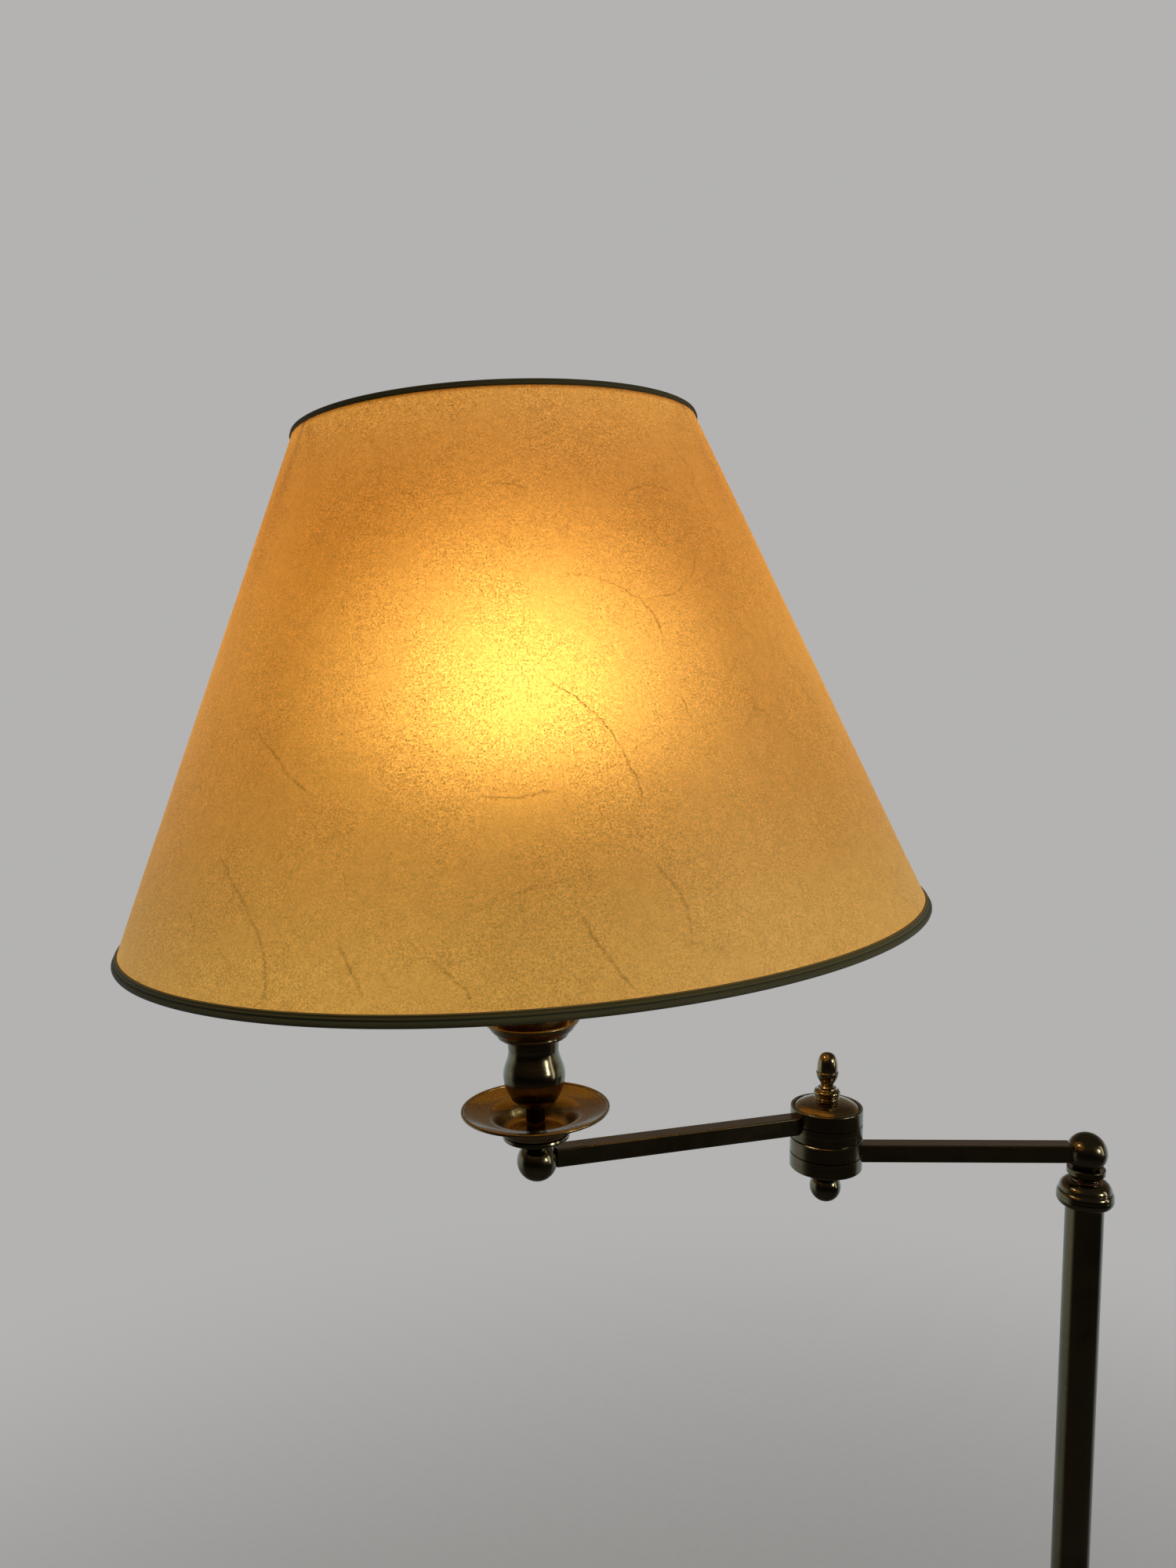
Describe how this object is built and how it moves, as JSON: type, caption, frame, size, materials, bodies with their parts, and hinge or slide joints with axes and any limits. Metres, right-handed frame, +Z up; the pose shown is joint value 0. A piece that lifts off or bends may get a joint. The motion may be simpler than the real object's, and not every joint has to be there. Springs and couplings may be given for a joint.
{
  "type": "bridge floor lamp",
  "caption": "Swing-arm floor lamp in dark antique brass: weighted round base, slim column, jointed square arms and a conical parchment shade.",
  "frame": {"origin": "centre of the felt underside of the base, on the column's axis, at floor level", "axes": "+Z up along the column; the inner arm lies along -X from the column at rest; +Y towards the wall behind the lamp"},
  "size_m": [0.6735, 0.4189, 1.4968],
  "materials": {
    "antique_brass_lathed": "dark antique brass with fine lathe lines",
    "antique_brass_spun": "dark antique brass, spun sheet",
    "antique_brass_tube": "dark antique brass, drawn tube",
    "antique_brass_turned": "dark antique brass, polished",
    "black_rubber": "matt",
    "braid_dark": "woven edging braid, dark green-grey",
    "braid_olive": "woven edging braid, olive with a gold line",
    "cast_iron_ballast": "rough casting",
    "felt": "dark green wool felt",
    "fibre": "vulcanised fibre",
    "lamp_cap_metal": "bright",
    "lead_sheath": "satin",
    "opal_glass": "frosted opal, lit",
    "parchment": "translucent parchment, lit from inside",
    "phenolic": "moulded, semi-gloss",
    "porcelain": "glazed",
    "raw_brass": "plain turned",
    "white_wire": "cream lacquered wire",
    "zinc_steel": "zinc plated"
  },
  "bodies": {
    "stand": {"base_felt": "felt", "base_cover": "antique_brass_spun", "base_weight": "cast_iron_ballast", "base_washer": "zinc_steel", "base_nut": "zinc_steel", "flex_grommet": "black_rubber", "foot_collar": "antique_brass_turned", "column_tube": "antique_brass_tube", "column_collar": "antique_brass_turned", "tie_rod": "zinc_steel", "column_spigot": "raw_brass", "column_washer": "fibre", "lead_column": "lead_sheath"},
    "inner_arm": {"column_ball": "antique_brass_turned", "swivel_grub_screw": "zinc_steel", "inner_arm_tube": "antique_brass_tube", "lower_barrel": "antique_brass_lathed", "lower_barrel_plate": "antique_brass_lathed", "barrel_washer": "fibre", "elbow_pivot": "zinc_steel", "ball_nut": "antique_brass_turned", "pivot_washer": "fibre", "pivot_nut": "zinc_steel", "lead_inner_arm": "lead_sheath"},
    "outer_arm": {"acorn_finial": "antique_brass_turned", "barrel_cap": "antique_brass_lathed", "bottom_trim_lower": "braid_dark", "bottom_trim_upper": "braid_olive", "bulb_cap": "lamp_cap_metal", "bulb_globe": "opal_glass", "centre_contact": "raw_brass", "drip_pan": "antique_brass_spun", "finial_collar": "antique_brass_turned", "finial_stud": "zinc_steel", "head_ball": "antique_brass_turned", "holder_cup": "antique_brass_spun", "holder_tube": "antique_brass_tube", "lampholder_base": "phenolic", "lampholder_insulator": "porcelain", "lampholder_skirt": "phenolic", "lead_outer_arm": "lead_sheath", "outer_arm_tube": "antique_brass_tube", "pan_seat": "antique_brass_turned", "ring_nut_lower": "phenolic", "ring_nut_upper": "phenolic", "screw_shell": "raw_brass", "shade_bottom_ring": "white_wire", "shade_hub": "white_wire", "shade_paper": "parchment", "shade_seam": "parchment", "shade_spokes": "white_wire", "shade_top_ring": "white_wire", "stem": "antique_brass_tube", "stem_nut": "zinc_steel", "top_trim": "braid_olive", "upper_barrel": "antique_brass_lathed", "vase": "antique_brass_turned", "vase_ring": "antique_brass_turned"}
  },
  "joints": [
    {"name": "column_swivel", "type": "hinge", "parent": "stand", "child": "inner_arm", "pos_m": [0, 0, 1.08], "axis": [0, 0, 1], "range_deg": [-170, 170]},
    {"name": "elbow_swivel", "type": "hinge", "parent": "inner_arm", "child": "outer_arm", "pos_m": [-0.1554, 0, 1.0894], "axis": [0, 0, 1], "range_deg": [-170, 135]}
  ]
}
